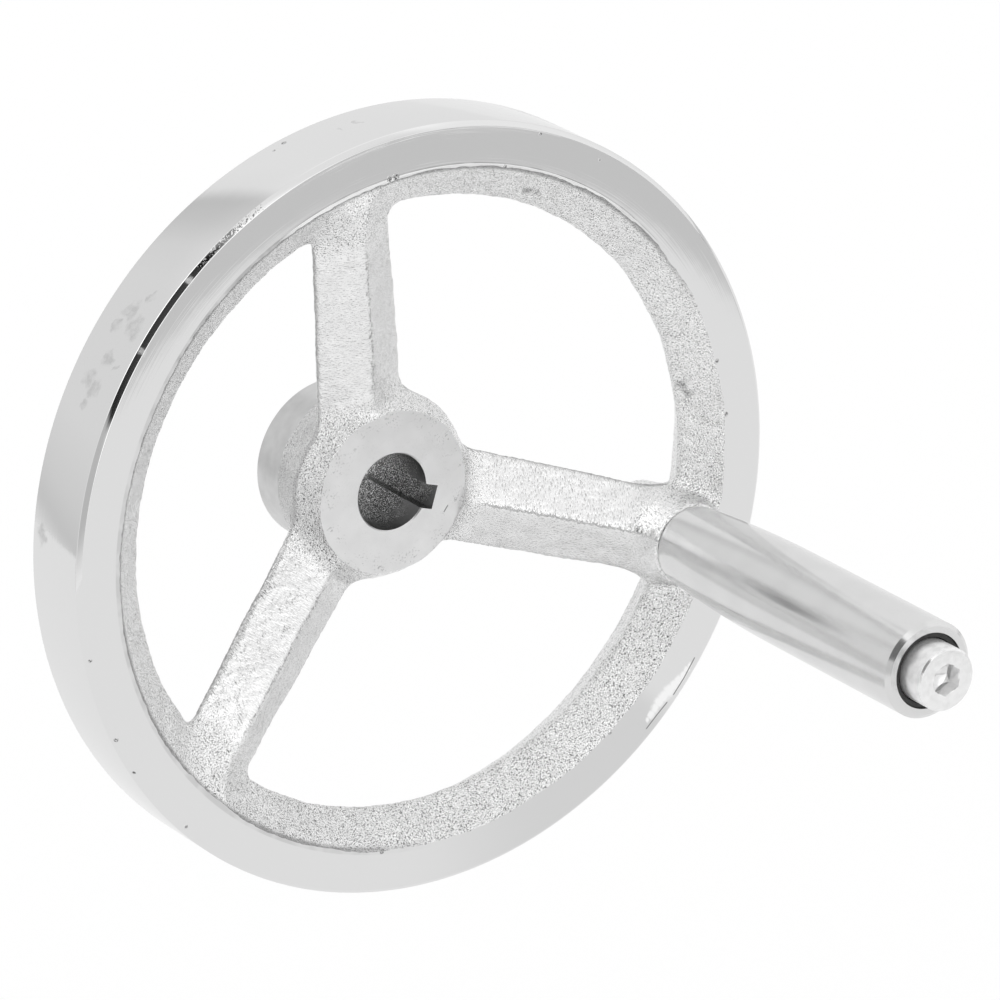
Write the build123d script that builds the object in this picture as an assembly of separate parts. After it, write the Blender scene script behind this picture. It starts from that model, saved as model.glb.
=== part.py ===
"""A three-spoke machine handwheel with a revolving crank handle.

The wheel is one iron casting.  Its rim is turned on the outside and on both faces, and its
inner slopes stay rough from the mould.  Three dished spokes of roof-shaped section rise from
the hub towards the front of the rim, and all their side edges lie on the mould's parting line.
A boss at the end of one spoke carries the handle: a socket head screw runs through the handle
sleeve into the boss, and the sleeve turns on the screw's plain shank, with a plastic bush
round the screw's head.

Frame: millimetres, +Z up.  The bore's axis is Y and the hub's rear face lies at y = 0.  The
side that faces the operator looks along -Y, and one spoke points straight up.
"""
import os
from math import cos, pi, radians, sin, sqrt

from build123d import *

# ---------------------------------------------------------------- driving dimensions
# Rim
rim_diameter = 160.0
rim_width = 18.5
rim_edge_chamfer = 0.8
rim_face_width = 9.1            # turned face, from the outside to the start of the cast slope
rim_depth = 16.4                # outside to the inner crest
crest_setback = 6.3             # crest of the rim behind its front face
crest_land = 1.1                # flat left by the mould's parting line, on rim, spokes and hub

# Hub
hub_length = 24.5
hub_front_radius = 17.0
hub_parting_radius = 19.8
hub_parting_setback = 19.2      # behind the rim's front face
hub_front_setback = 13.7
hub_rear_radius = 17.0
hub_turned_length = 9.0         # turned band at the hub's rear
hub_rear_chamfer = 0.4
hub_step = 0.4                  # cast flank over the turned band

# Bore and keyway
bore_diameter = 16.0
bore_chamfer = 0.25
keyway_width = 5.0
keyway_depth = 2.3              # beyond the bore's wall

# Spokes
spoke_count = 3
spoke_width_at_hub = 19.4
spoke_width_at_rim = 17.4
spoke_roof_height = 5.9         # ridge over the land at the spoke's side
spoke_below_face = 0.3          # the ridge flattens this far behind the rim's front face
spoke_root_radius = 1.8         # hollow where a spoke's sides and ridges run into hub and rim
spoke_root_steps = 3

# Handle boss
handle_inset = 16.0             # handle's axis inside the rim's outside
boss_stands_out = 2.0           # rough front of the boss, before the turned face
boss_front_radius = 8.6
boss_parting_radius = 9.9
boss_rear_radius = 7.6

# Handle sleeve
sleeve_length = 82.1
sleeve_diameter = 20.0
sleeve_base_diameter = 16.5
sleeve_taper_length = 36.1
sleeve_end_chamfer = 0.9
sleeve_base_round = 0.4
sleeve_gap = 0.2                # between the boss and the sleeve

# Socket head screw, M8
screw_diameter = 8.0
screw_length = 100.0            # under the head
head_diameter = 13.0
head_height = 8.0
head_chamfer = 0.7
head_stands_out = 5.8           # of the sleeve's end
socket_across_flats = 6.0
socket_depth = 4.0
socket_cone_depth = 1.4
socket_chamfer = 0.35
tip_chamfer = 1.0
shank_clearance = 0.08          # radial, sleeve and bush on the screw
thread_clearance = 0.03         # radial, screw in the boss

# End bush
counterbore_diameter = 15.6
bush_wall = 0.95
bush_floor = 2.0
bush_below_end = 0.5            # behind the sleeve's end face
bush_clearance = 0.03           # radial, bush in the sleeve
head_float = 0.2                # end play between the head and the bush's floor

# ---------------------------------------------------------------- derived places
rim_radius = rim_diameter / 2
rim_face_inner_radius = rim_radius - rim_face_width
crest_radius = rim_radius - rim_depth
bore_radius = bore_diameter / 2
front = -(hub_front_setback + hub_length)               # y of the rim's front face
rim_rear = front + rim_width
hub_front = front + hub_front_setback
crest_y = front + crest_setback
hub_parting_y = front + hub_parting_setback
half_land = crest_land / 2
handle_radius = rim_radius - handle_inset
spoke_step = 360 / spoke_count
handle_angle = spoke_step                               # from +Z towards +X, seen from the front
handle_x = handle_radius * sin(radians(handle_angle))
handle_z = handle_radius * cos(radians(handle_angle))

boss_front = front - boss_stands_out
sleeve_base = boss_front - sleeve_gap
sleeve_end = sleeve_base - sleeve_length
head_front = sleeve_end - head_stands_out
head_seat = head_front + head_height
bush_floor_front = head_seat + head_float
bush_floor_rear = bush_floor_front + bush_floor
screw_tip = head_seat + screw_length
shank_radius = screw_diameter / 2
running_radius = shank_radius + shank_clearance
bush_radius = counterbore_diameter / 2 - bush_clearance
socket_corner_radius = socket_across_flats / 2 / cos(pi / 6)


# ---------------------------------------------------------------- helpers
def turned(points):
    """A body turned about the Y axis from its half section, given as (radius, y) points."""
    return revolve(make_face(Polyline(*points, close=True)), Axis.Y, 360)


def on_handle_axis(part):
    """Moves a body that was turned about the Y axis to the handle's axis."""
    return Pos(handle_x, 0, handle_z) * part


# ---------------------------------------------------------------- casting
def rim():
    """Rim: turned and chamfered outside and faces, two cast slopes that meet at the crest."""
    section = make_face(Polyline(
        (rim_radius, front),
        (rim_radius, rim_rear),
        (rim_face_inner_radius, rim_rear),
        (crest_radius, crest_y + half_land),
        (crest_radius, crest_y - half_land),
        (rim_face_inner_radius, front),
        close=True,
    ))
    outer_corners = section.vertices().filter_by_position(Axis.X, rim_radius - 0.01, rim_radius + 0.01)
    return revolve(chamfer(outer_corners, rim_edge_chamfer), Axis.Y, 360)


def parting_y(radius):
    """The mould's parting surface is a cone from the hub's widest circle to the rim's crest."""
    share = (radius - hub_parting_radius) / (crest_radius - hub_parting_radius)
    return hub_parting_y + share * (crest_y - hub_parting_y)


def spoke_half_width(radius):
    share = (radius - hub_parting_radius) / (crest_radius - hub_parting_radius)
    return (spoke_width_at_hub + share * (spoke_width_at_rim - spoke_width_at_hub)) / 2


def root_flare(distance):
    """How far a spoke's outline stands out, this far from the hub or rim: a quarter circle."""
    return spoke_root_radius - sqrt(spoke_root_radius ** 2 - (spoke_root_radius - distance) ** 2)


def spoke_section(radius, flare):
    """Section of the upright spoke: a roof in front, a roof behind, and a land at each side."""
    half_width = spoke_half_width(radius) + flare
    ridge = half_land + spoke_roof_height + flare
    plane = Plane(origin=(0, parting_y(radius), radius), x_dir=(1, 0, 0), z_dir=(0, 0, 1))
    return plane * make_face(Polyline(
        (half_width, -half_land),
        (half_width, half_land),
        (0, ridge),
        (-half_width, half_land),
        (-half_width, -half_land),
        (0, -ridge),
        close=True,
    ))


def spoke():
    """One dished spoke, from inside the hub to inside the rim, kept behind the rim's face."""
    inner_radius = (bore_radius + hub_front_radius) / 2
    outer_radius = (crest_radius + rim_radius) / 2
    hub_root = sqrt(hub_parting_radius ** 2 - spoke_half_width(hub_parting_radius) ** 2)
    rim_root = sqrt(crest_radius ** 2 - spoke_half_width(crest_radius) ** 2)
    distances = [spoke_root_radius * (step / spoke_root_steps) ** 2 for step in range(spoke_root_steps + 1)]
    sections = [spoke_section(inner_radius, spoke_root_radius)]
    sections += [spoke_section(hub_root + distance, root_flare(distance)) for distance in distances]
    sections += [spoke_section(rim_root - distance, root_flare(distance)) for distance in reversed(distances)]
    sections += [spoke_section(outer_radius, spoke_root_radius)]
    bar = loft(sections, ruled=True)
    envelope = turned([
        (0, front + spoke_below_face),
        (outer_radius, front + spoke_below_face),
        (outer_radius, 0),
        (0, 0),
    ])
    return bar & envelope


def hub():
    """Hub: front flank down to the parting line, rear flank, and a turned band at the back."""
    return turned([
        (0, hub_front),
        (hub_front_radius, hub_front),
        (hub_parting_radius, hub_parting_y - half_land),
        (hub_parting_radius, hub_parting_y + half_land),
        (hub_rear_radius + hub_step, -hub_turned_length),
        (hub_rear_radius, -hub_turned_length),
        (hub_rear_radius, -hub_rear_chamfer),
        (hub_rear_radius - hub_rear_chamfer, 0),
        (0, 0),
    ])


def handle_boss():
    """Boss through the rim's width, drafted both ways, its front cut where the face is turned."""
    boss = on_handle_axis(turned([
        (0, boss_front),
        (boss_front_radius, boss_front),
        (boss_parting_radius, crest_y),
        (boss_rear_radius, rim_rear),
        (0, rim_rear),
    ]))
    envelope = turned([
        (0, boss_front),
        (rim_face_inner_radius, boss_front),
        (rim_face_inner_radius, front),
        (rim_radius, front),
        (rim_radius, rim_rear),
        (0, rim_rear),
    ])
    return boss & envelope


def bore_and_keyway():
    """Shaft bore with a lead-in at the front, and a keyway that points along the handle's spoke."""
    bore = turned([
        (0, hub_front),
        (bore_radius + bore_chamfer, hub_front),
        (bore_radius, hub_front + bore_chamfer),
        (bore_radius, 0),
        (0, 0),
    ])
    keyway = Pos(0, hub_front / 2, (bore_radius + keyway_depth) / 2) * Box(
        keyway_width, hub_length, bore_radius + keyway_depth)
    return bore + Rot(0, handle_angle, 0) * keyway


def handwheel():
    spokes = [Rot(0, index * spoke_step, 0) * spoke() for index in range(spoke_count)]
    casting = rim() + hub() + spokes + handle_boss()
    screw_hole = on_handle_axis(turned([
        (0, boss_front),
        (shank_radius + thread_clearance, boss_front),
        (shank_radius + thread_clearance, rim_rear),
        (0, rim_rear),
    ]))
    return casting - bore_and_keyway() - screw_hole


# ---------------------------------------------------------------- handle
def handle_sleeve():
    """Grip: one long arc swells from the base to a plain cylinder, bored and counterbored."""
    base_radius = sleeve_base_diameter / 2
    full_radius = sleeve_diameter / 2
    swell = full_radius - base_radius
    arc_radius = (sleeve_taper_length ** 2 + swell ** 2) / (2 * swell)
    taper_end = sleeve_base - sleeve_taper_length
    outline = Line((running_radius, sleeve_base), (base_radius, sleeve_base))
    outline += RadiusArc((base_radius, sleeve_base), (full_radius, taper_end), arc_radius)
    outline += Polyline(
        (full_radius, taper_end),
        (full_radius, sleeve_end + sleeve_end_chamfer),
        (full_radius - sleeve_end_chamfer, sleeve_end),
        (counterbore_diameter / 2, sleeve_end),
        (counterbore_diameter / 2, bush_floor_rear),
        (running_radius, bush_floor_rear),
        (running_radius, sleeve_base),
    )
    section = make_face(outline)
    base_corner = section.vertices().filter_by_position(Axis.X, base_radius - 0.01, base_radius + 0.01)
    return on_handle_axis(revolve(fillet(base_corner, sleeve_base_round), Axis.Y, 360))


def end_bush():
    """Cup-shaped bush: its floor carries the screw's head, its wall shows round the head."""
    wall_radius = bush_radius - bush_wall
    return on_handle_axis(turned([
        (running_radius, bush_floor_rear),
        (bush_radius, bush_floor_rear),
        (bush_radius, sleeve_end + bush_below_end),
        (wall_radius, sleeve_end + bush_below_end),
        (wall_radius, bush_floor_front),
        (running_radius, bush_floor_front),
    ]))


def handle_screw():
    """Socket head screw: chamfered head, plain shank, chamfered tip."""
    body = turned([
        (0, head_front),
        (head_diameter / 2 - head_chamfer, head_front),
        (head_diameter / 2, head_front + head_chamfer),
        (head_diameter / 2, head_seat),
        (shank_radius, head_seat),
        (shank_radius, screw_tip - tip_chamfer),
        (shank_radius - tip_chamfer, screw_tip),
        (0, screw_tip),
    ])
    mouth = Plane(origin=(0, head_front, 0), x_dir=(1, 0, 0), z_dir=(0, 1, 0))
    socket = extrude(mouth * RegularPolygon(socket_corner_radius, 6), socket_depth)
    drill_point = turned([
        (0, head_front),
        (socket_across_flats / 2, head_front),
        (socket_across_flats / 2, head_front + socket_depth),
        (0, head_front + socket_depth + socket_cone_depth),
    ])
    lead_in = turned([
        (0, head_front),
        (socket_corner_radius + socket_chamfer, head_front),
        (0, head_front + socket_corner_radius + socket_chamfer),
    ])
    return on_handle_axis(body - socket - drill_point - lead_in)


# ---------------------------------------------------------------- output
pieces = {
    "handwheel": handwheel(),
    "handle_sleeve": handle_sleeve(),
    "end_bush": end_bush(),
    "handle_screw": handle_screw(),
}

os.makedirs("parts", exist_ok=True)
for name, piece in pieces.items():
    export_step(piece, f"parts/{name}.step")
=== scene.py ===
"""Looks of a three-spoke machine handwheel with a revolving crank handle.

The casting is modelled as the foundry and the lathe would make it.  A distance field joins rim,
hub, spokes and boss with cast fillets, a machining envelope then cuts the turned faces and the
bore, and the keyway and the handle's hole follow.  Sleeve, screw and bush are lathe bodies.  Sizes
are in millimetres up to the point where a mesh is made, and the frame is the CAD model's: the
bore's axis is Y, and the operator's side looks along -Y.
"""
from contextlib import contextmanager
from functools import reduce
from math import atan2, cos, hypot, pi, radians, sin, sqrt

import bmesh
import bpy
import numpy as np
import openvdb
from mathutils import Matrix, Vector


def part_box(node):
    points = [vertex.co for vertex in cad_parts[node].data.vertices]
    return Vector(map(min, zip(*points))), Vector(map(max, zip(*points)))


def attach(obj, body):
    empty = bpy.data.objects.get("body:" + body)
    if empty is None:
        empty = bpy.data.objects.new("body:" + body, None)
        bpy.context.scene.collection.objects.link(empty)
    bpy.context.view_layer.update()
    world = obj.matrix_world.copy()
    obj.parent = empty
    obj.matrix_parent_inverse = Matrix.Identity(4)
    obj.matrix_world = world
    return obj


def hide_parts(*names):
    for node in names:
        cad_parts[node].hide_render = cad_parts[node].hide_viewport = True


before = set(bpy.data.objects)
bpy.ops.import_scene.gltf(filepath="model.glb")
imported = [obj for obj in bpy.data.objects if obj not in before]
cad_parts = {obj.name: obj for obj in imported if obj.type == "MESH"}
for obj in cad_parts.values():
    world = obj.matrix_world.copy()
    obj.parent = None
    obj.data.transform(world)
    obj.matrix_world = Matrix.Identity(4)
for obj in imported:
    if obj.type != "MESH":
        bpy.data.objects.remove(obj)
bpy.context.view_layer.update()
MM = 0.001

# ---------------------------------------------------------------- sizes in millimetres
wheel_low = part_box("handwheel")[0] / MM
sleeve_low, sleeve_high = (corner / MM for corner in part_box("handle_sleeve"))
screw_low, screw_high = (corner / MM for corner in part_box("handle_screw"))
bush_low, bush_high = (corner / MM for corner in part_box("end_bush"))

rim_radius = 80.0
boss_front = wheel_low.y
boss_height = 2.0               # of the boss's front over the turned face
rim_front = boss_front + boss_height
rim_width = 18.5
rim_rear = rim_front + rim_width
rim_edge_chamfer = 0.95
edge_break = 0.3
face_inner_radius = 70.9
crest_radius = 63.6
crest_depth = 6.3               # of the rim's parting line behind its face
crest_y = rim_front + crest_depth
half_land = 0.55                # half the width of the land at a parting line

hub_front_depth = 13.7
hub_front = rim_front + hub_front_depth
hub_front_radius = 17.0
hub_parting_radius = 19.8
hub_parting_depth = 19.2
hub_parting_y = rim_front + hub_parting_depth
hub_rear_radius = 17.0
hub_turned_length = 9.0
hub_rear_chamfer = 0.4
hub_step = 0.4
bore_radius = 8.0
bore_chamfer = 0.25
keyway_width = 5.0
keyway_depth = 2.3

spoke_count = 3
spoke_width_at_hub = 19.4
spoke_width_at_rim = 17.4
spoke_roof_height = 5.9
spoke_below_face = 0.3
spoke_into_hub = 5.0            # how far a spoke runs on inside the hub, and inside the rim
spoke_into_rim = 2.0
ridge_softness = 0.6            # the smaller, the sharper the spokes' ridges

handle_x = (sleeve_low.x + sleeve_high.x) / 2
handle_z = (sleeve_low.z + sleeve_high.z) / 2
handle_axis = (handle_x, handle_z)
handle_angle = atan2(handle_x, handle_z)
boss_front_radius = 8.6
boss_parting_radius = 9.9
boss_rear_radius = 7.6

sleeve_radius = 10.0
sleeve_base_radius = 8.25
sleeve_taper_length = 36.1
sleeve_end_chamfer = 0.9
sleeve_base_round = 0.4
sleeve_corner_angle = 20        # degrees, the sharpest bend that is still shaded smooth
counterbore_radius = 7.8

screw_radius = 4.0
running_radius = 4.08
threaded_hole_radius = 4.03
head_radius = 6.5
head_height = 8.0
head_chamfer = 0.45
head_rounding = 0.12
tip_chamfer = 1.0
screw_corner_angle = 25
socket_across_flats = 6.0
socket_depth = 4.0
socket_cone_depth = 1.4
socket_lead = 3.15              # radius of the lead-in at the face
socket_turn = 16.5              # degrees from +Z to a corner of the hexagon
socket_sides = 6

bush_wall = 1.1
bush_floor = 2.0
bush_lip = 0.12

overshoot = 1.0                 # how far a cutter reaches past the face that it goes in by
wheel_segments = 400            # of all that is turned on the wheel
sleeve_segments = 192
small_segments = 128            # of the screw and the bush
socket_segments = 96
hole_segments = 48

# Studio, in metres, degrees and shares of white
floor_drop = 0.30               # the wheel is held by its bore, clear of the floor
far_wall = (                    # (degrees round the bore's axis from +X, level)
    (0, 0.88), (62, 0.92), (73, 0.90), (79, 0.63), (88, 0.68), (98, 0.79), (110, 0.82), (157, 0.82),
    (178, 0.74), (189, 0.66), (196, 0.83), (228, 0.82), (268, 0.84), (300, 0.92),
)
paper_edge = (0.79, -0.61, 0.92)    # direction across the paper's edge, and how far away it is
paper_softness = 0.04
paper_white = 0.91
table_grey = 0.24               # how much darker the table is than the paper
table_size = 2.4
table_beyond_paper = 0.45

# What the metal mirrors.  A reach gives where it starts and where it is full: in parts of the
# direction looked in, or in degrees from the direction of its middle
far_wall_reach = (-0.2, 0.45)
skirting_reach = ((-0.27, -0.25), (-0.20, -0.22))       # from below and from above
skirting_dark = 0.7
top_box_reach = (0.55, 0.8)
top_box = 0.15
left_screen_reach = ((-0.58, -0.74), (-0.1, -0.4), (-0.2, 0.1))     # in x, y and z
left_screen = 0.42
lamp_direction = (-0.15, -0.88, 0.42)
lamp_reach = (42, 16)
lamp = 0.50
edge_lamp_direction = (-0.57, 0.12, 0.81)
edge_lamp_reach = (28, 16)
edge_lamp = 0.9
card_direction = (0.19, -0.52, 0.83)
card_reach = (36, 22)
card = 0.22
hood_direction = (-0.455, -0.612, 0.647)
hood_reach = (23.5, 18.5)
hood_dark = 0.96

# Cast skin
voxel = 0.59                    # step of the grid that the casting is sampled on
blank_margin = 2 * voxel        # empty room round the blank
field_band = 3 * voxel          # reach of the distance field on both sides of the skin
cast_allowance = 1.2            # metal left on the blank where the lathe will cut
skin_margin = 0.08              # keeps the uneven skin behind the boss's nominal front
edge_softness = 0.4             # rounding where two slopes of one form meet
root_softness = 3.0             # hollow where two forms run together
ceiling_slope = 2               # how steeply that ceiling gives way outside the face's inner edge
skin_seed = 11
waves_per_size = 14
skin_waves = (                  # wavelength and height of the skin's unevenness
    (14.0, 0.06),
    (4.5, 0.035),
    (1.7, 0.03),
)

# Marks on the rim's face, as (x, z, radius), or (x, z) of both ends of a dark line
painted_highlight_places = (               # painted highlight: the face is made white where it would mirror a brighter part of the room
    (50.7, -58.7, 0.8), (49.7, -59.4, 1.1), (48.7, -60.2, 1.3), (47.4, -60.8, 1.6), (46.1, -61.4, 1.8),
    (44.8, -62.0, 2.0), (43.3, -62.7, 2.1), (42.0, -63.5, 1.9), (40.7, -64.4, 1.6), (39.5, -65.3, 1.2),
    (38.5, -66.1, 0.8),
)
# painted reflection: dark lines along the face's outer edge, beside the painted highlight
edge_reflections = (
    ((52.1, -57.8), (48.7, -61.0)), ((48.7, -61.0), (45.6, -63.4)),
    ((43.7, -64.4), (40.8, -66.0)), ((40.8, -66.0), (37.8, -67.8)),
)
face_nicks = (
    (8.8, 70.9, 1.0), (7.2, 71.0, 0.8), (32.7, 62.9, 0.6), (29.3, -64.8, 0.5), (71.0, 2.8, 0.6),
    (70.7, -9.3, 0.6), (-27.1, -65.8, 0.6), (53.9, 55.5, 0.4),
)

# Marks on the rim's chamfer, as (x, z, radius)
chamfer_nicks = ((-78.9, 2.9, 0.55), (-77.6, -15.6, 0.6), (-75.6, -24.0, 0.5), (-67.6, -40.2, 0.6))
worn_chamfer = ((-39.6, 69.0, 1.5), (-52.9, 59.4, 1.4))
chamfer_edge_nicks = ((42.0, 66.2, 0.45),)

# Marks on the rim's outside, as (degrees from +X towards +Z, y, radius)
outside_nicks = ((94, -22.7, 0.7), (96, -23.4, 0.45))
stained_places = (
    (127.4, -28.5, 3.0), (124.8, -32.0, 1.7), (130.4, -27.0, 1.7), (129.3, -32.1, 3.2),
    (134.8, -30.0, 2.3), (135.3, -33.2, 1.1), (138.3, -27.1, 2.7), (139.6, -30.1, 2.8),
    (142.0, -28.6, 2.0), (83.5, -27.0, 1.3), (86.5, -27.6, 0.8), (162.0, -24.0, 2.5),
)

# Other marks, as (x, y, z, radius), or (x, y, z) of both ends of a scratch
smudged_places = (              # dark patches on the rim's slope
    (64.8, -33.4, -1.4, 1.8), (65.3, -33.9, -3.2, 1.8), (38.4, -34.6, 54.0, 1.6), (40.2, -34.7, 52.9, 1.3),
)
hub_scratch = ((11.33, -24.5, -8.15), (10.27, -24.5, -9.05))
sleeve_nicks = ((47.4, -53.2, -29.0, 0.6), (46.9, -63.4, -32.9, 0.55), (53.2, -61.1, -23.7, 0.5))
sleeve_scratches = (
    ((48.3, -43.5, -36.4), (46.5, -55.8, -34.1)), ((46.5, -55.8, -34.1), (45.6, -66.0, -33.0)),
    ((45.6, -66.0, -33.0), (45.5, -82.4, -32.5)),
)


# ---------------------------------------------------------------- mesh helpers
def make_object(name, mesh, materials=()):
    piece = bpy.data.objects.new(name, mesh)
    bpy.context.scene.collection.objects.link(piece)
    for material in materials:
        mesh.materials.append(material)
    return piece


def mesh_from(name, points, faces):
    mesh = bpy.data.meshes.new(name)
    mesh.from_pydata([tuple(point) for point in np.asarray(points) * MM], [], faces)
    mesh.validate()
    return mesh


@contextmanager
def edited(mesh):
    """Opens a mesh for changes and writes them back."""
    body = bmesh.new()
    body.from_mesh(mesh)
    yield body
    body.to_mesh(mesh)
    body.free()


def points_and_normals(mesh):
    points = np.empty(len(mesh.vertices) * 3)
    normals = np.empty(len(mesh.vertices) * 3)
    mesh.vertices.foreach_get("co", points)
    mesh.vertex_normals.foreach_get("vector", normals)
    return points.reshape(-1, 3), normals.reshape(-1, 3)


def shade(mesh, corner_angle=32):
    """Smooth shading, with sharp edges where two finishes meet and at bends beyond corner_angle."""
    mesh.polygons.foreach_set("use_smooth", np.ones(len(mesh.polygons), bool))
    mesh.set_sharp_from_angle(angle=radians(corner_angle))
    with edited(mesh) as body:
        for edge in body.edges:
            if len({face.material_index for face in edge.link_faces}) > 1:
                edge.smooth = False


def closed_mesh(name, points, faces):
    """Mesh whose faces all look outwards."""
    mesh = mesh_from(name, points, faces)
    with edited(mesh) as body:
        bmesh.ops.recalc_face_normals(body, faces=body.faces)
    return mesh


def arc(centre, radius, start, end, steps):
    """Points of an arc in (radius, y), with angles in degrees from the outward direction."""
    for step in range(steps + 1):
        angle = radians(start + (end - start) * step / steps)
        yield centre[0] + radius * cos(angle), centre[1] + radius * sin(angle)


def lathe(name, profile, segments, axis=(0.0, 0.0), closed=True):
    """Closed body turned about a Y axis at (x, z) from its (radius, y) outline."""
    points = []
    rings = []
    for radius, y in profile:
        if radius == 0:
            rings.append([len(points)] * segments)
            points.append((axis[0], y, axis[1]))
            continue
        rings.append(list(range(len(points), len(points) + segments)))
        for index in range(segments):
            angle = 2 * pi * index / segments
            points.append((axis[0] + radius * cos(angle), y, axis[1] + radius * sin(angle)))
    faces = []
    pairs = list(zip(rings, rings[1:]))
    if closed:
        pairs.append((rings[-1], rings[0]))
    for first, second in pairs:
        for index in range(segments):
            following = (index + 1) % segments
            corners = [first[index], first[following], second[following], second[index]]
            face = list(dict.fromkeys(corners))
            if len(face) > 2:
                faces.append(face)
    return closed_mesh(name, points, faces)


def prism(name, outline, low_y, high_y, axis=(0.0, 0.0)):
    """Closed body with an (x, z) outline, along Y."""
    count = len(outline)
    points = [(axis[0] + x, y, axis[1] + z) for y in (low_y, high_y) for x, z in outline]
    faces = [list(range(count)), list(range(2 * count - 1, count - 1, -1))]
    for index in range(count):
        following = (index + 1) % count
        faces.append([following, index, count + index, count + following])
    return closed_mesh(name, points, faces)


def cut(piece, cutter_mesh, operation="DIFFERENCE"):
    """Cuts a piece by a closed mesh and keeps the cutter's materials on the new faces."""
    cutter = make_object("cutter", cutter_mesh)
    modifier = piece.modifiers.new("cut", "BOOLEAN")
    modifier.operation = operation
    modifier.solver = "MANIFOLD"
    modifier.object = cutter
    bpy.context.view_layer.update()
    result = bpy.data.meshes.new_from_object(piece.evaluated_get(bpy.context.evaluated_depsgraph_get()))
    piece.modifiers.clear()
    old = piece.data
    piece.data = result
    bpy.data.meshes.remove(old)
    bpy.data.objects.remove(cutter)
    bpy.data.meshes.remove(cutter_mesh)


# ---------------------------------------------------------------- distance field of the casting
def soft_max(a, b, softness):
    overlap = np.maximum(softness - np.abs(a - b), 0) / softness
    return np.maximum(a, b) + overlap * overlap * softness / 4


def soft_min(a, b, softness):
    return -soft_max(-a, -b, softness)


def beyond_line(r, y, start, end):
    """Distance of (r, y) to the left of the line from start to end."""
    run = (end[0] - start[0], end[1] - start[1])
    length = hypot(*run)
    return ((y - start[1]) * run[0] - (r - start[0]) * run[1]) / length


def rim_field(r, y):
    front_slope = beyond_line(r, y, (face_inner_radius, rim_front), (crest_radius, crest_y - half_land))
    rear_slope = beyond_line(r, y, (crest_radius, crest_y + half_land), (face_inner_radius, rim_rear))
    slopes = soft_max(front_slope, rear_slope, edge_softness)
    slopes = soft_max(slopes, crest_radius - r, edge_softness)
    faces = np.maximum(rim_front - cast_allowance - y, y - rim_rear - cast_allowance)
    return np.maximum(slopes, np.maximum(faces, r - rim_radius - cast_allowance))


def hub_field(r, y):
    front_flank = beyond_line(
        r, y, (hub_parting_radius, hub_parting_y - half_land), (hub_front_radius, hub_front))
    rear_radius = hub_rear_radius + hub_step
    rear_flank = beyond_line(
        r, y, (rear_radius, -hub_turned_length), (hub_parting_radius, hub_parting_y + half_land))
    rear_flank = np.where(y > -hub_turned_length, r - rear_radius, rear_flank)
    flanks = soft_max(front_flank, rear_flank, edge_softness)
    flanks = soft_max(flanks, r - hub_parting_radius, edge_softness)
    return np.maximum(flanks, np.maximum(hub_front - cast_allowance - y, y - cast_allowance))


def parting_share(radius):
    return (radius - hub_parting_radius) / (crest_radius - hub_parting_radius)


def parting_y(radius):
    return hub_parting_y + parting_share(radius) * (crest_y - hub_parting_y)


def spoke_field(x, y, z, angle):
    """One roof-shaped spoke, dished along the parting surface."""
    along = x * sin(angle) + z * cos(angle)
    across = np.sqrt((x * cos(angle) - z * sin(angle)) ** 2 + ridge_softness ** 2)
    half_width = (spoke_width_at_hub + parting_share(along) * (spoke_width_at_rim - spoke_width_at_hub)) / 2
    dish = (crest_y - hub_parting_y) / (crest_radius - hub_parting_radius)
    steepness = 4 * spoke_roof_height / (spoke_width_at_hub + spoke_width_at_rim)
    depth = np.abs(y - parting_y(along)) - half_land - spoke_roof_height * (1 - across / half_width)
    roof = depth / sqrt(1 + dish ** 2 + steepness ** 2)
    ends = np.maximum(hub_front_radius - spoke_into_hub - along, along - face_inner_radius - spoke_into_rim)
    return np.maximum(soft_max(roof, across - half_width, edge_softness), ends)


def boss_field(x, y, z):
    radius = np.interp(
        y, (boss_front, crest_y, rim_rear), (boss_front_radius, boss_parting_radius, boss_rear_radius))
    side = np.hypot(x - handle_x, z - handle_z) - radius
    return soft_max(side, np.maximum(y - rim_rear, boss_front + skin_margin - y), edge_softness)


def cast_field(x, y, z):
    r = np.hypot(x, z)
    field = soft_min(rim_field(r, y), hub_field(r, y), root_softness)
    for index in range(spoke_count):
        field = soft_min(field, spoke_field(x, y, z, 2 * pi * index / spoke_count), root_softness)
    # Under a ceiling, so that inside the turned face only the boss comes up to the lathe's plane
    past_face = np.maximum(r - face_inner_radius + spoke_below_face, 0)
    field = np.maximum(field, rim_front + spoke_below_face - y - past_face * ceiling_slope)
    return soft_min(field, boss_field(x, y, z), root_softness)


def cast_blank():
    """Mesh of the raw casting, with an uneven skin."""
    reach = rim_radius + cast_allowance + blank_margin
    low = np.array([-reach, boss_front - blank_margin, -reach])
    high = np.array([reach, cast_allowance + blank_margin, reach])
    counts = np.ceil((high - low) / voxel).astype(int) + 1
    x, y, z = (
        (low[axis] + voxel * np.arange(counts[axis])).astype(np.float32) for axis in range(3))
    field = cast_field(x[:, None, None], y[None, :, None], z[None, None, :])
    grid = openvdb.FloatGrid(field_band)
    grid.copyFromArray(np.clip(field, -field_band, field_band).astype(np.float32))
    points, triangles, quads = grid.convertToPolygons(isovalue=0.0, adaptivity=0.0)
    points = low + points * voxel
    mesh = mesh_from("cast_blank", points, triangles.tolist() + quads.tolist())
    with edited(mesh) as body:
        if body.calc_volume(signed=True) < 0:
            bmesh.ops.reverse_faces(body, faces=body.faces)
    roughen(mesh)
    return mesh


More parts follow.
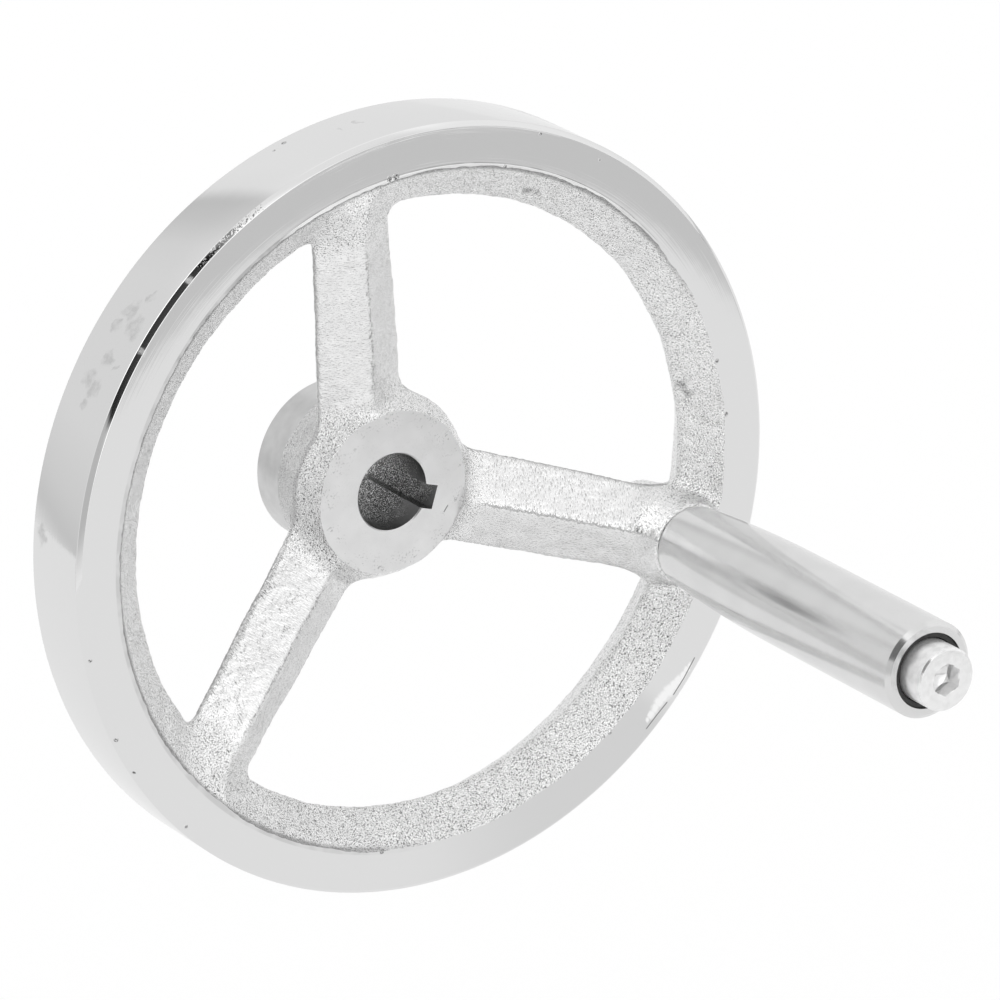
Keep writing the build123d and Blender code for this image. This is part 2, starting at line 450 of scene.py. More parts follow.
def roughen(mesh):
    """Moves the skin in and out by a few sets of waves in random directions."""
    points, normals = points_and_normals(mesh)
    chance = np.random.default_rng(skin_seed)
    height = np.zeros(len(points))
    for length, size in skin_waves:
        for _ in range(waves_per_size):
            direction = chance.normal(size=3)
            direction /= np.linalg.norm(direction)
            phase = chance.uniform(0, 2 * pi)
            wave = np.sin(points @ direction * (2 * pi / (length * MM)) + phase)
            height += size / sqrt(waves_per_size / 2) * wave
    points += normals * (height * MM)[:, None]
    mesh.vertices.foreach_set("co", points.ravel())
    mesh.update()


# ---------------------------------------------------------------- machining
def corner(radius, face_y, chamfer, inwards, rounding):
    """Chamfer from a face at face_y to an outside of this radius, both of its edges rounded."""
    inset = rounding * (sqrt(2) - 1)
    steps = 3
    return [
        *arc((radius - chamfer - inset, face_y + inwards * rounding),
             rounding, -90 * inwards, -45 * inwards, steps),
        *arc((radius - rounding, face_y + inwards * (chamfer + inset)),
             rounding, -45 * inwards, 0, steps),
    ]


def machining_envelope():
    """What the lathe leaves: everything outside this body is cut away."""
    inner_wall = 50.0           # between the rim's rear cut and the hub, where nothing is turned
    past_hub = hub_front_radius + 0.1
    past_hub_flare = hub_front_radius + 0.3
    before_face = face_inner_radius - 0.4
    outline = [
        (bore_radius, 0),
        (bore_radius, hub_front + bore_chamfer),
        (bore_radius + bore_chamfer, hub_front),
        (past_hub, hub_front),
        (past_hub_flare, boss_front),
        (before_face, boss_front),
        (before_face, rim_front),
        *corner(rim_radius, rim_front, rim_edge_chamfer, 1, edge_break),
        *reversed(corner(rim_radius, rim_rear, rim_edge_chamfer, -1, edge_break)),
        (inner_wall, rim_rear),
        (inner_wall, -hub_turned_length),
        (hub_rear_radius, -hub_turned_length),
        (hub_rear_radius, -hub_rear_chamfer),
        (hub_rear_radius - hub_rear_chamfer, 0),
    ]
    return lathe("envelope", outline, wheel_segments)


def keyway_cutter():
    """Prism for the keyway, from inside the bore to its bottom, along the handle's spoke."""
    direction = Vector((sin(handle_angle), cos(handle_angle)))
    side = Vector((direction.y, -direction.x)) * keyway_width / 2
    start = direction * bore_radius / 2
    end = direction * (bore_radius + keyway_depth)
    outline = [start + side, end + side, end - side, start - side]
    return prism("keyway", outline, hub_front - overshoot, overshoot)


def mark_skin(mesh):
    """Stores what the cast skin's material needs: the lie of the spokes' ripples, and where shade is
    painted.

    lay is (across, along, y) of the nearest spoke in millimetres, ripple is the ripples' strength
    on the spokes and 0 elsewhere, seam_shade is 1 on the land that the mould's parting line left and
    along the cast side of the face's inner edge, where shade is painted, painted_shade is high on the
    sides that are painted darker as if turned from the light, calm is high where the grain hardly
    shows, and pitted is high where the rim's slope has pits.
    """
    points, normals = points_and_normals(mesh)
    x, y, z = points.T / MM
    step = 2 * pi / spoke_count
    angle = np.round(np.arctan2(x, z) / step) * step
    along = x * np.sin(angle) + z * np.cos(angle)
    across = x * np.cos(angle) - z * np.sin(angle)
    radius = np.hypot(x, z)

    def rise(value, start, end):
        """0 at start, 1 at end, smooth between."""
        share = np.clip((value - start) / (end - start), 0, 1)
        return share * share * (3 - 2 * share)

    # Limits are in millimetres, apart from those of angles and normals
    on_spoke = rise(along, 19, 25) * rise(along, 62, 53) * rise(np.abs(across), 13, 10)
    off_spoke = rise(radius, 21.5, 20.2)
    rim_slope = rise(radius, 62, 64)
    upright = np.abs(angle) < 0.1
    lower_left = angle < -1
    # On the underside of the handle's spoke the ripples run along it
    turned = (angle > 1) & (across > 0)

    ripple = on_spoke * np.where(upright, 1.0, 0.85)
    rear = rise(y, hub_parting_y, hub_parting_y + 0.8) * off_spoke
    upper_rim = rim_slope * rise(z, -38, -18)
    hub_roots = rise(radius, 25, 21) * rise(-x, 12, 5)
    pitted = rim_slope * rise(-z, 15, 30) * rise(x, 20, 35)
    calm = np.maximum(0.82 * ripple + 0.2 * rear, np.maximum(0.22 * upper_rim, 0.3 * hub_roots))
    calm = np.where(lower_left, np.maximum(calm, 0.86 * on_spoke), calm)
    calm = np.where(turned, 0.6 * on_spoke, calm)
    calm = np.maximum(calm, 0.32 * pitted)

    # painted shade: the spokes' undersides, the hub's left flank, the cast behind the parting line and the
    # bottom of the rim's slope are darkened as if turned from the light
    underside = np.clip(0.5 * normals[:, 0] - 0.86 * normals[:, 2], 0, 1) * on_spoke
    hub_left = rise(-x, 5, 13) * off_spoke
    bottom_rim = rim_slope * rise(-z, 40, 50) * rise(x, 30, 10)
    painted_shade = np.maximum(np.maximum(underside, 0.5 * hub_left), 0.9 * rear)
    painted_shade = np.where(turned, np.maximum(painted_shade, 0.42 * on_spoke), painted_shade)
    painted_shade = np.where(lower_left, np.maximum(1.5 * painted_shade, 0.45 * on_spoke * rise(along, 56, 40)), painted_shade)
    painted_shade = np.maximum(painted_shade, 0.22 * bottom_rim)

    # painted shade: the land at the mould's parting line, and the cast side of the face's inner edge at the
    # left and top, are darkened
    land = rise(np.abs(y - parting_y(radius)), half_land + 0.4, half_land)
    seam_shade = land * rise(np.abs(normals[:, 1]), 0.6, 0.3) * rise(radius, crest_radius - 1, crest_radius - 3)
    seam_shade *= 0.6 + 0.4 * rise(radius, 20.5, 22.5)
    face_edge = rise(radius, face_inner_radius - 1.0, face_inner_radius - 0.3)
    face_edge *= rise(y, rim_front + 1.5, rim_front + 0.8)
    seam_shade = np.maximum(seam_shade, face_edge * rise(np.maximum(-x, z), 10, 40))

    ripple = np.where(turned, 0.6 * ripple, ripple)
    lay = np.stack([np.where(turned, 1.8 * along, across), np.where(turned, across, along), y], 1)
    fields = {"lay": lay, "ripple": ripple, "seam_shade": seam_shade, "painted_shade": painted_shade, "calm": calm, "pitted": pitted}
    for name, values in fields.items():
        kind, part = ("FLOAT_VECTOR", "vector") if values.ndim == 2 else ("FLOAT", "value")
        attribute = mesh.attributes.new(name, kind, "POINT")
        attribute.data.foreach_set(part, values.astype(np.float32).ravel())


def casting():
    names = ("cast_skin", "polished_rim", "faced_hub", "raw_bore", "hub_band")
    skin, rim, hub, bore, band = range(len(names))
    finishes = [materials[name] for name in names]
    piece = make_object("wheel_casting", cast_blank(), finishes)
    envelope = machining_envelope()
    outside_bore = bore_radius + 0.01
    outside_hub = hub_front_radius + 1
    inside_face = face_inner_radius - 0.5
    behind_hub_front = hub_front + 1
    for face in envelope.polygons:
        r = hypot(face.center.x, face.center.z) / MM
        y = face.center.y / MM
        if r < outside_bore:
            face.material_index = bore
        elif outside_hub < r < inside_face and y < rim_front:
            face.material_index = skin
        elif r < outside_hub:
            face.material_index = hub if y < behind_hub_front else band
        else:
            face.material_index = rim
    hole_front = rim_front - overshoot
    hole_rear = rim_rear + overshoot
    hole_outline = [
        (0, hole_front), (threaded_hole_radius, hole_front),
        (threaded_hole_radius, hole_rear), (0, hole_rear)]
    hole = lathe("boss_hole", hole_outline, hole_segments, handle_axis, closed=False)
    keyway = keyway_cutter()
    for cutter in (keyway, hole):
        cutter.polygons.foreach_set("material_index", np.full(len(cutter.polygons), bore))
    for cutter, operation in ((envelope, "INTERSECT"), (keyway, "DIFFERENCE"), (hole, "DIFFERENCE")):
        for material in finishes:
            cutter.materials.append(material)
        cut(piece, cutter, operation)
    shade(piece.data)
    mark_skin(piece.data)
    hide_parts("handwheel")
    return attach(piece, "wheel")


# ---------------------------------------------------------------- handle
def handle_sleeve():
    swell = sleeve_radius - sleeve_base_radius
    arc_radius = (sleeve_taper_length ** 2 + swell ** 2) / (2 * swell)
    base_y = sleeve_high.y
    end_y = sleeve_low.y
    steps = 40
    round_centre = (sleeve_base_radius - sleeve_base_round, base_y - sleeve_base_round)
    outline = [(running_radius, base_y), *arc(round_centre, sleeve_base_round, 90, 0, steps=4)]
    for step in range(1, steps + 1):
        rise = sleeve_taper_length * step / steps
        drop = arc_radius - sqrt(arc_radius ** 2 - (sleeve_taper_length - rise) ** 2)
        outline.append((sleeve_radius - drop, base_y - rise))
    outline += [
        (sleeve_radius, end_y + sleeve_end_chamfer),
        (sleeve_radius - sleeve_end_chamfer, end_y),
        (counterbore_radius, end_y),
        (counterbore_radius, bush_high.y),
        (running_radius, bush_high.y),
    ]
    mesh = lathe("grip_sleeve", outline, sleeve_segments, handle_axis)
    shade(mesh, sleeve_corner_angle)
    piece = make_object("grip_sleeve", mesh, [materials["grip"]])
    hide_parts("handle_sleeve")
    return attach(piece, "grip")


def end_bush():
    outer = (bush_high.x - bush_low.x) / 2
    inner = outer - bush_wall
    outline = [
        (running_radius, bush_high.y),
        (outer, bush_high.y),
        (outer, bush_low.y + bush_lip),
        (outer - bush_lip, bush_low.y),
        (inner + bush_lip, bush_low.y),
        (inner, bush_low.y + bush_lip),
        (inner, bush_high.y - bush_floor),
        (running_radius, bush_high.y - bush_floor),
    ]
    mesh = lathe("bush_ring", outline, small_segments, handle_axis)
    shade(mesh)
    piece = make_object("bush_ring", mesh, [materials["bush"]])
    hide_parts("end_bush")
    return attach(piece, "grip")


def handle_screw():
    head_y = screw_low.y
    seat_y = head_y + head_height
    tip_y = screw_high.y
    outline = [
        (0, head_y),
        *corner(head_radius, head_y, head_chamfer, 1, head_rounding),
        (head_radius, seat_y),
        (screw_radius, seat_y),
        (screw_radius, tip_y - tip_chamfer),
        (screw_radius - tip_chamfer, tip_y),
        (0, tip_y),
    ]
    mesh = lathe("socket_screw", outline, small_segments, handle_axis, closed=False)
    piece = make_object("socket_screw", mesh, [materials["screw"]])
    half_flats = socket_across_flats / 2
    reach = half_flats / cos(pi / socket_sides)
    turns = [radians(socket_turn + 360 / socket_sides * side) for side in range(socket_sides)]
    hexagon = [(reach * sin(turn), reach * cos(turn)) for turn in turns]
    outside = head_y - overshoot
    floor = head_y + socket_depth
    inside = floor - 0.5            # where the drill's cutter starts, within the hexagon
    lead = [(0, outside), (socket_lead + overshoot, outside), (0, head_y + socket_lead)]
    drill = [(0, inside), (half_flats, inside), (half_flats, floor), (0, floor + socket_cone_depth)]
    cut(piece, prism("hexagon", hexagon, outside, floor, handle_axis))
    cut(piece, lathe("lead_in", lead, socket_segments, handle_axis, closed=False))
    cut(piece, lathe("drill_point", drill, socket_segments, handle_axis, closed=False))
    shade(piece.data, screw_corner_angle)
    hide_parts("handle_screw")
    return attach(piece, "wheel")


# ---------------------------------------------------------------- shader arithmetic
class Value:
    """What a shader node gives out.  Arithmetic with it adds the nodes that work out the result."""

    def __init__(self, socket):
        self.socket = socket
        self.tree = socket.id_data

    def __add__(self, other):
        return calculate("ADD", self, other)

    def __sub__(self, other):
        return calculate("SUBTRACT", self, other)

    def __rsub__(self, other):
        return calculate("SUBTRACT", other, self)

    def __mul__(self, other):
        return calculate("MULTIPLY", self, other)

    def __truediv__(self, other):
        return calculate("DIVIDE", self, other)

    def parts(self):
        """X, Y and Z of a vector."""
        return [Value(part) for part in add_node(self.tree, "ShaderNodeSeparateXYZ", {0: self}).outputs]

    def fade(self, start, end):
        """0 at start, 1 at end, smooth between."""
        limits = {"Value": self, "From Min": start, "From Max": end}
        made = add_node(self.tree, "ShaderNodeMapRange", limits, interpolation_type="SMOOTHERSTEP")
        return Value(made.outputs["Result"])

    def fade_mm(self, start, end):
        """fade for lengths, with its limits in millimetres."""
        return self.fade(start * MM, end * MM)

    def fade_degrees(self, start, end):
        return self.fade(radians(start), radians(end))

    def ramp(self, *stops):
        """Straight lines through stops of (place, value)."""
        made = add_node(self.tree, "ShaderNodeValToRGB", {"Fac": self})
        elements = made.color_ramp.elements
        for index, (place, value) in enumerate(stops):
            element = elements[index] if index < 2 else elements.new(place)
            element.position = place
            element.color = (value, value, value, 1)
        return Value(made.outputs["Color"])

    def mix(self, first, second):
        """first where this is 0, second where it is 1."""
        made = add_node(self.tree, "ShaderNodeMix", {"Factor": self, "A": first, "B": second})
        return Value(made.outputs["Result"])


def add_node(tree, kind, inputs=None, **settings):
    """New node.  inputs gives sockets, by name or number, a Value, a number or a vector."""
    made = tree.nodes.new(kind)
    for name, setting in settings.items():
        setattr(made, name, setting)
    for name, term in (inputs or {}).items():
        if isinstance(term, Value):
            tree.links.new(term.socket, made.inputs[name])
        else:
            made.inputs[name].default_value = term
    return made


def tree_of(terms):
    """Node tree that the terms are worked out in."""
    return next(term.tree for term in terms if isinstance(term, Value))


def calculate(operation, *terms, clamp=False):
    inputs = dict(enumerate(terms))
    made = add_node(tree_of(terms), "ShaderNodeMath", inputs, operation=operation, use_clamp=clamp)
    return Value(made.outputs[0])


def vector(operation, *terms):
    """Vector arithmetic, which gives a number for DOT_PRODUCT and DISTANCE."""
    made = add_node(tree_of(terms), "ShaderNodeVectorMath", dict(enumerate(terms)), operation=operation)
    return Value(made.outputs["Value" if operation in ("DOT_PRODUCT", "DISTANCE") else "Vector"])


def highest(*masks):
    """The highest of several Values at each point."""
    return reduce(lambda first, second: calculate("MAXIMUM", first, second), masks)


# ---------------------------------------------------------------- materials
class Finish:
    """Material with one Principled shader, and the patterns that its finish is built up from."""

    def __init__(self, name, tone, metallic, roughness):
        self.material = bpy.data.materials.new(name)
        self.material.use_nodes = True
        self.tree = self.material.node_tree
        self.inputs = self.tree.nodes["Principled BSDF"].inputs
        self.inputs["Base Color"].default_value = (tone, tone, tone, 1)
        self.inputs["Metallic"].default_value = metallic
        self.inputs["Roughness"].default_value = roughness

    def drive(self, name, value):
        """Links a Value to one of the shader's inputs."""
        self.tree.links.new(value.socket, self.inputs[name])

    def dress(self, tone, layers, roughness=None):
        """Links tone, roughness and bump layers of (height, distance in mm, strength)."""
        self.drive("Base Color", tone)
        if roughness is not None:
            self.drive("Roughness", roughness)
        below = {}
        for height, distance, strength in layers:
            inputs = {"Height": height, "Distance": distance * MM, "Strength": strength, **below}
            normal = Value(add_node(self.tree, "ShaderNodeBump", inputs).outputs["Normal"])
            below = {"Normal": normal}
        self.drive("Normal", normal)
        return self.material

    def position(self):
        return Value(add_node(self.tree, "ShaderNodeTexCoord").outputs["Object"])

    def stored(self, name, output="Fac"):
        made = add_node(self.tree, "ShaderNodeAttribute", attribute_name=name)
        return Value(made.outputs[output])

    def texture(self, scale, detail, where):
        """Noise node, sampled at the coordinates where."""
        inputs = {"Scale": scale, "Detail": detail, "Vector": where}
        return add_node(self.tree, "ShaderNodeTexNoise", inputs)

    def noise(self, size, detail=2.0):
        """Noise with features of about this size in millimetres."""
        return Value(self.texture(1 / (size * MM), detail, self.position()).outputs["Fac"])

    def ragged(self, size, reach):
        """Coordinates pushed about by up to half of reach, in waves of this size, both in mm."""
        waves = Value(self.texture(1 / (size * MM), 2.0, self.position()).outputs["Color"])
        centred = vector("SUBTRACT", self.position(), (reach * MM / 2,) * 3)
        return vector("MULTIPLY_ADD", waves, (reach * MM,) * 3, centred)

    def spots(self, places, soft=0.5, where=None):
        """1 in the middle of each place, given as (x, y, z, radius) in millimetres, and 0 outside.

        soft is the share of the radius up to which a place is fully marked.
        """
        where = where or self.position()
        return highest(*(
            vector("DISTANCE", where, (x * MM, y * MM, z * MM)).fade_mm(radius, radius * soft)
            for x, y, z, radius in places))

    def stroke(self, ends, half_width):
        """1 along the middle of a straight scratch between two places in millimetres, and 0 outside."""
        start, end = (Vector(place) * MM for place in ends)
        run = end - start
        offset = vector("SUBTRACT", self.position(), start)
        along = vector("DOT_PRODUCT", offset, run / run.length_squared)
        share = calculate("ADD", along, 0.0, clamp=True)
        away = vector("DISTANCE", offset, vector("MULTIPLY", share, run))
        return away.fade_mm(half_width, half_width * 0.3)

    def turned_lines(self, pitch, length, axis=(0, 0)):
        """Marks of lathe and buff round an axis parallel to Y, and the distance from that axis.

        pitch is about their width and length about their length, in millimetres.
        """
        middle_radius = 30.0    # the marks have their given length at this radius, in mm
        x, y, z = self.position().parts()
        x = x - axis[0] * MM
        z = z - axis[1] * MM
        radius = calculate("SQRT", x * x + z * z)
        turn = calculate("ARCTAN2", z, x)
        place = add_node(self.tree, "ShaderNodeCombineXYZ", {
            "X": turn * middle_radius / length, "Y": radius / (pitch * MM), "Z": y / (pitch * MM)})
        return Value(self.texture(1.0, 2.0, Value(place.outputs[0])).outputs["Fac"]), radius


def cast_skin():
    """Plated sand-cast skin: grains that glitter, pits darkened by painted shade, ripples across the
    spokes, and painted shade on the parting line's land and on the sides turned from the light.
    """
    finish = Finish("cast_skin", tone=0.80, metallic=1.0, roughness=0.26)
    lay = finish.stored("lay", "Vector")
    ripple = finish.stored("ripple")
    calm = finish.stored("calm")
    grain = finish.noise(0.27, 1.2)
    # Ripples are long across the spoke and short along it
    ripples = finish.texture(5.0, 1, vector("MULTIPLY", lay, (0.22, 0.75, 0.30)))
    height = calculate("MULTIPLY", ripple, 1.15, clamp=True).mix(grain, Value(ripples.outputs["Fac"]))
    # the grain's low places get a dark tone: painted shade in its pits, on top of the grain's own tone
    tone = height.ramp((0.32, 0.10), (0.38, 0.50), (0.43, 0.93), (0.49, 1.0))
    tone = calm.mix(tone, 0.93)
    smudge = finish.spots(smudged_places, 0.1, finish.ragged(2.5, 3.0))
    smudge = smudge * grain.ramp((0.45, 1.0), (0.62, 0.25))
    tone = smudge.mix(tone, 0.30)
    tone = tone * finish.noise(3.0).ramp((0.3, 0.92), (0.7, 1.0))
    # painted shade on the sides turned from the light
    tone = tone * (1.0 - finish.stored("painted_shade") * 0.22)
    # painted shade along the parting line's land and the face's inner edge
    seam_shade = finish.stored("seam_shade") * finish.noise(0.5).ramp((0.3, 1.0), (0.6, 0.7))
    tone = seam_shade.mix(tone, 0.30)
    pits = finish.stored("pitted") * finish.noise(0.36, 0).ramp((0.69, 0.0), (0.73, 1.0))
    tone = pits.mix(tone, 0.10)
    # A burr wanders along the ridge of each spoke
    wander = (finish.noise(2.0, 1) - 0.5) * 1.6
    off_ridge = calculate("ABSOLUTE", lay.parts()[0] + wander)
    burr = off_ridge.fade(0.5, 0.15) * ripple * finish.noise(0.45).ramp((0.49, 0.0), (0.57, 1.0))
    tone = burr.mix(tone, 0.42)
    height = (calm * 0.5).mix(height, 0.5)
    return finish.dress(tone, [(height, 0.30, 1.0), (finish.noise(0.9, 1), 0.08, 0.5)])


def at_depth(depth, marks):
    """Marks given by (x, z, radius), this far behind the rim's face."""
    return [(x, rim_front + depth, z, radius) for x, z, radius in marks]


def on_outside(marks):
    """Marks on the rim's outside, given by (degrees from +X towards +Z, y, radius)."""
    return [
        (rim_radius * cos(radians(angle)), y, rim_radius * sin(radians(angle)), radius)
        for angle, y, radius in marks]


def polished_rim():
    """Bright plate on a buffed turning: arc streaks, a softened inner edge, stains and nicks.
    Painted light on it: a painted highlight and painted dark reflections near the lower right edge,
    painted dark reflections on the chamfer, a painted shadow line and a painted highlight at the
    inner edge, and painted shade below the handle.
    """
    finish = Finish("polished_rim", tone=0.79, metallic=1.0, roughness=0.05)
    lines, radius = finish.turned_lines(pitch=0.28, length=9.0)
    x, y, z = finish.position().parts()
    turn = calculate("ARCTAN2", z, x)

    chamfer = radius.fade_mm(rim_radius - 1.0, rim_radius - 0.8)
    chamfer = chamfer * y.fade_mm(rim_front + 1.0, rim_front + 0.8)
    # painted reflection with real chipping: on the chamfer's arc beside its dark reflected band, dark
    # flecks carry that band on, with a small bump
    speckled_arc = turn.fade_degrees(103, 117)
    depth = finish.noise(0.4) - speckled_arc * 0.22
    speckled_arc = speckled_arc * turn.fade_degrees(118, 115)
    chips_and_reflection = chamfer * speckled_arc.fade(0.0, 0.05) * depth.ramp((0.34, 1.0), (0.42, 0.0))

    left = x.fade_mm(-10, -45)
    top = z.fade_mm(30, 55)
    # painted shadow: a dark line on the face along its inner edge, at the left and top
    edge = radius.fade_mm(face_inner_radius + 0.9, face_inner_radius + 0.6) * highest(left * 0.5, top)
    edge = edge * finish.noise(4.0).ramp((0.38, 0.35), (0.58, 1.0))
    # painted highlight: a narrow ring at the face's inner edge, at the top, is made white; its bump rounds
    # that edge
    lip_and_highlight = radius.fade_mm(face_inner_radius + 0.6, face_inner_radius + 0.4)
    lip_and_highlight = lip_and_highlight * turn.fade_degrees(108, 98) * top

    # painted highlight patch near the face's lower right edge
    bright = finish.spots(at_depth(0, painted_highlight_places), 0.3, finish.ragged(1.5, 1.3))
    # painted reflection: dark lines near the face's outer edge
    mirrored_lines = highest(*(
        finish.stroke([(x, rim_front, z) for x, z in ends], half_width=0.2) for ends in edge_reflections))
    stains = finish.spots(on_outside(stained_places), 0.3, finish.ragged(2.6, 4.5))
    stains = stains * finish.noise(1.6, 3).ramp((0.32, 0.3), (0.58, 1.0))
    nicks = finish.spots([
        *on_outside(outside_nicks), *at_depth(0.3, chamfer_nicks), *at_depth(0.1, chamfer_edge_nicks),
        *at_depth(0, face_nicks)])
    nicks = nicks * finish.noise(0.35, 1).ramp((0.38, 1.0), (0.60, 0.2))
    # painted shade: the face below the handle is darker
    shade_below_handle = turn.fade_degrees(-112, -78) * turn.fade_degrees(-54, -60)

    plate_tone = 0.79
    shaded_plate_tone = 0.695
    tone = (stains * 0.42).mix(shade_below_handle.mix(plate_tone, shaded_plate_tone), 0.42)
    tone = bright.mix(tone, 1.0)
    # painted shadow line along the face's inner edge
    tone = (edge * 0.7).mix(tone, 0.38)
    # painted highlight on the face's inner edge
    tone = lip_and_highlight.mix(tone, 1.0)
    # dark flecks on the chamfer and dark lines near the outer edge: painted reflection
    tone = highest(chips_and_reflection, mirrored_lines).mix(tone, 0.25)
    tone = nicks.mix(tone, 0.12)
    worn = finish.spots(at_depth(0.2, worn_chamfer), 0.2, finish.ragged(0.8, 0.8))
    dull = stains * 0.15 + finish.noise(16.0).ramp((0.3, 0.04), (0.7, 0.075)) + worn * 0.35
    layers = [
        (lines, 0.011, 0.7), (finish.noise(7.0, 1), 0.03, 0.5), (lip_and_highlight, 0.08, 0.9), (chips_and_reflection, 0.03, 0.8),
        (nicks, 0.15, 0.8)]
    return finish.dress(tone, layers, dull)


def faced_hub():
    """Turned front of the hub, duller than the rim, with pits towards its edge and one scratch."""
    finish = Finish("faced_hub", tone=0.78, metallic=1.0, roughness=0.34)
    lines, radius = finish.turned_lines(pitch=0.25, length=4.0)
    edge = radius.fade_mm(hub_front_radius - 5.5, hub_front_radius - 0.5)
    pits = finish.noise(0.42).ramp((0.57, 0.0), (0.67, 1.0))
    pits = pits * finish.noise(3.4).ramp((0.44, 0.0), (0.58, 1.0)) * (edge + 0.12)
    wear = highest(pits * 0.55, finish.stroke(hub_scratch, half_width=0.22))
    tone = wear.mix(finish.noise(5.0).ramp((0.3, 0.76), (0.7, 0.82)), 0.32)
    return finish.dress(tone, [(lines, 0.012, 0.8), (finish.noise(0.5), 0.03, 0.4), (wear, 0.12, 0.6)])


def hub_band():
    """Turned band at the hub's rear, dull, and darker than the hub's face: painted shade from the rim
    around it.
    """
    finish = Finish("hub_band", tone=0.68, metallic=1.0, roughness=0.30)
    lines, _ = finish.turned_lines(pitch=0.3, length=5.0)
    # painted shade: a lower tone than the hub's face
    tone = finish.noise(3.0).ramp((0.3, 0.58), (0.7, 0.66))
    return finish.dress(tone, [(lines, 0.015, 0.8), (finish.noise(0.4, 1), 0.03, 0.5)])


def raw_bore():
    """Bored and broached iron under a mist of plate: dark, with bright grains, and painted light making the
    side away from the handle lighter.
    """
    finish = Finish("raw_bore", tone=0.2, metallic=1.0, roughness=0.38)
    x, y, z = finish.position().parts()
    wander = (finish.noise(4.0) - 0.5) * (12 * MM)
    deep = (y + wander).fade_mm(hub_front + 1, hub_front + 9)
    grain = finish.noise(0.24)
    tone = deep.mix(0.20, grain.ramp((0.42, 0.05), (0.53, 0.17), (0.64, 0.95)))
    # painted light: the bore's side away from the handle is lighter
    towards_handle = z * cos(handle_angle) + x * sin(handle_angle)
    tone = towards_handle.fade_mm(-1, -6).mix(tone, 0.5)
    return finish.dress(tone, [(grain * (deep + 0.15), 0.20, 1.0)])


def grip():
    """Buffed steel sleeve with fine lines round it, a few nicks and one long broken scratch."""
    finish = Finish("grip", tone=0.75, metallic=0.88, roughness=0.17)
    lines, _ = finish.turned_lines(pitch=0.22, length=3.0, axis=handle_axis)
    tone = finish.spots(sleeve_nicks).mix(finish.noise(9.0).ramp((0.3, 0.73), (0.7, 0.77)), 0.25)
    for ends in sleeve_scratches:
        tone = (finish.stroke(ends, half_width=0.16) * 0.4).mix(tone, 0.35)
    return finish.dress(tone, [
        (lines, 0.006, 0.7), (finish.noise(5.0, 1), 0.012, 0.5), (finish.noise(0.4, 1), 0.006, 0.5)])


def screw():
    """Zinc plated screw, satin, with a duller side and a bright socket."""
    finish = Finish("screw", tone=0.86, metallic=0.75, roughness=0.24)
    _, radius = finish.turned_lines(pitch=0.3, length=3.0, axis=handle_axis)
    side = radius.fade_mm(head_radius - 0.12, head_radius - 0.02)
    face_tone = finish.noise(1.1).ramp((0.3, 0.84), (0.7, 0.94))
    side_tone = finish.noise(1.6).ramp((0.36, 0.78), (0.60, 0.92))
    socket = radius.fade_mm(socket_lead + 0.5, socket_lead + 0.3)
    dull = socket.mix(side.mix(0.2, 0.32), 0.1)
    return finish.dress(side.mix(face_tone, side_tone), [(finish.noise(0.7), 0.02, 0.5)], dull)


def bush():
    """Black moulded plastic with a fine grain."""
    finish = Finish("bush", tone=0.02, metallic=0.0, roughness=0.42)
    tone = finish.noise(0.8).ramp((0.3, 0.012), (0.7, 0.035))
    return finish.dress(tone, [(finish.noise(0.4, 1), 0.02, 0.5)])


materials = {make.__name__: make() for make in (
    cast_skin, polished_rim, faced_hub, raw_bore, hub_band, grip, screw, bush)}


# ---------------------------------------------------------------- studio
def room_light():
    """White room.  What the metal mirrors has soft boxes above and to the left, a greyer far
    wall and the dark opening that the lens looks through."""
    world = bpy.data.worlds.new("studio")
    bpy.context.scene.world = world
    world.use_nodes = True
    tree = world.node_tree
    direction = Value(add_node(tree, "ShaderNodeTexCoord").outputs["Generated"])
    x, y, z = direction.parts()

    def towards(aim, start, end):
        """0 beyond start degrees from the direction aim, 1 within end degrees."""
        return vector("DOT_PRODUCT", direction, aim).fade(cos(radians(start)), cos(radians(end)))

    turn = calculate("FRACT", calculate("ARCTAN2", z, x) / (2 * pi) + 1.0)
    wall = turn.ramp(*((degrees / 360, level) for degrees, level in far_wall))
    behind = y.fade(*far_wall_reach)
    skirting = z.fade(*skirting_reach[0]) * z.fade(*skirting_reach[1])
    level = wall * behind + (1.0 - behind) * (1.0 - skirting * skirting_dark)
    above = z.fade(*top_box_reach) * top_box
    lamps = towards(lamp_direction, *lamp_reach) * lamp
    lamps = lamps + towards(edge_lamp_direction, *edge_lamp_reach) * edge_lamp
    screen_x, screen_y, screen_z = left_screen_reach
    screen = x.fade(*screen_x) * z.fade(*screen_z) * y.fade(*screen_y) * left_screen
    level = level + (above + lamps) - screen - towards(card_direction, *card_reach) * card
    level = level * (1.0 - towards(hood_direction, *hood_reach) * hood_dark)

    # Only what the metal mirrors sees the room, and all else is lit evenly white
    mirrored = Value(add_node(tree, "ShaderNodeLightPath").outputs["Is Glossy Ray"])
    strength = level * mirrored + (1.0 - mirrored)
    background = tree.nodes["Background"]
    background.inputs["Color"].default_value = (1, 1, 1, 1)
    tree.links.new(strength.socket, background.inputs["Strength"])


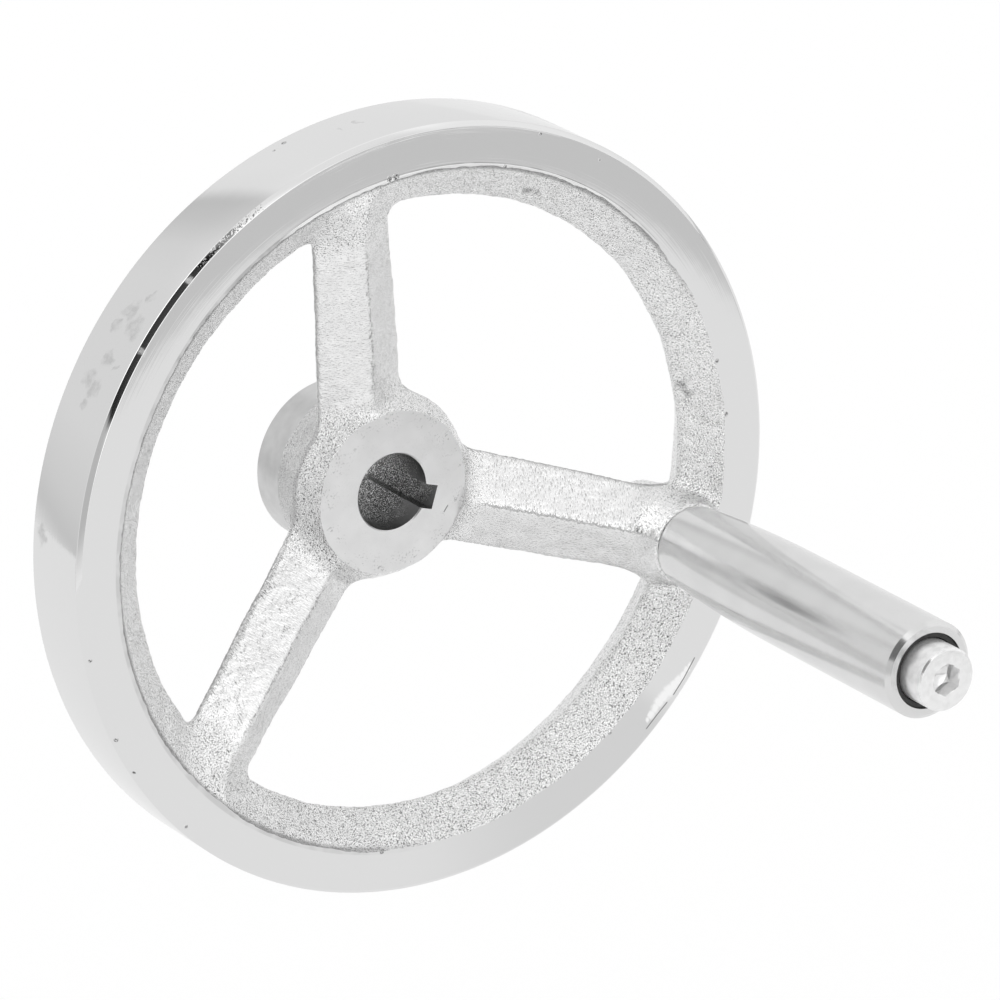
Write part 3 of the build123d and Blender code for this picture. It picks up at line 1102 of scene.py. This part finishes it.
def studio():
    """White paper on a greyer table, both pure white to the camera."""
    side_x, side_y, paper_reach = paper_edge
    white = Finish("floor_white", tone=0.9, metallic=0.0, roughness=1.0)
    white.inputs["Specular IOR Level"].default_value = 0
    across = vector("DOT_PRODUCT", white.position(), (side_x, side_y, 0))
    off_paper = across.fade(paper_reach - paper_softness, paper_reach + paper_softness)
    seen = Value(add_node(white.tree, "ShaderNodeLightPath").outputs["Is Camera Ray"])
    white.drive("Base Color", seen.mix(paper_white - off_paper * table_grey, 1.0))
    z = wheel_low.z * MM - floor_drop
    # The corner in front and to the right is cut off where the table ends
    reach = paper_reach + table_beyond_paper
    corner_x = (reach + side_y * table_size) / side_x
    corner_y = (reach - side_x * table_size) / side_y
    corners = [
        (-table_size, -table_size, z), (corner_x, -table_size, z), (table_size, corner_y, z),
        (table_size, table_size, z), (-table_size, table_size, z)]
    mesh = bpy.data.meshes.new("floor")
    mesh.from_pydata(corners, [], [range(len(corners))])
    make_object("floor", mesh, [white.material])
    room_light()


def camera():
    """Long lens from the operator's left and above, rolled as the picture is."""
    azimuth = radians(27.88)
    elevation = radians(26.99)
    roll = radians(12.26)
    distance = 1.5226
    target = Vector((0.02453, -0.02202, -0.01371))
    focal_share = 7.552           # focal length in picture widths
    forward = Vector((sin(azimuth) * cos(elevation), cos(azimuth) * cos(elevation), -sin(elevation)))
    level_right = forward.cross(Vector((0, 0, 1))).normalized()
    level_up = level_right.cross(forward)
    up = level_up * cos(roll) + level_right * sin(roll)
    right = forward.cross(up)
    data = bpy.data.cameras.new("camera")
    data.lens = data.sensor_width * focal_share
    data.clip_end = 20
    holder = bpy.data.objects.new("camera", data)
    bpy.context.scene.collection.objects.link(holder)
    holder.matrix_world = Matrix((right, up, -forward)).transposed().to_4x4()
    holder.location = target - forward * distance
    bpy.context.scene.camera = holder


# ---------------------------------------------------------------- making
bpy.context.scene.view_settings.view_transform = "Standard"
casting()
handle_sleeve()
end_bush()
handle_screw()
studio()
camera()
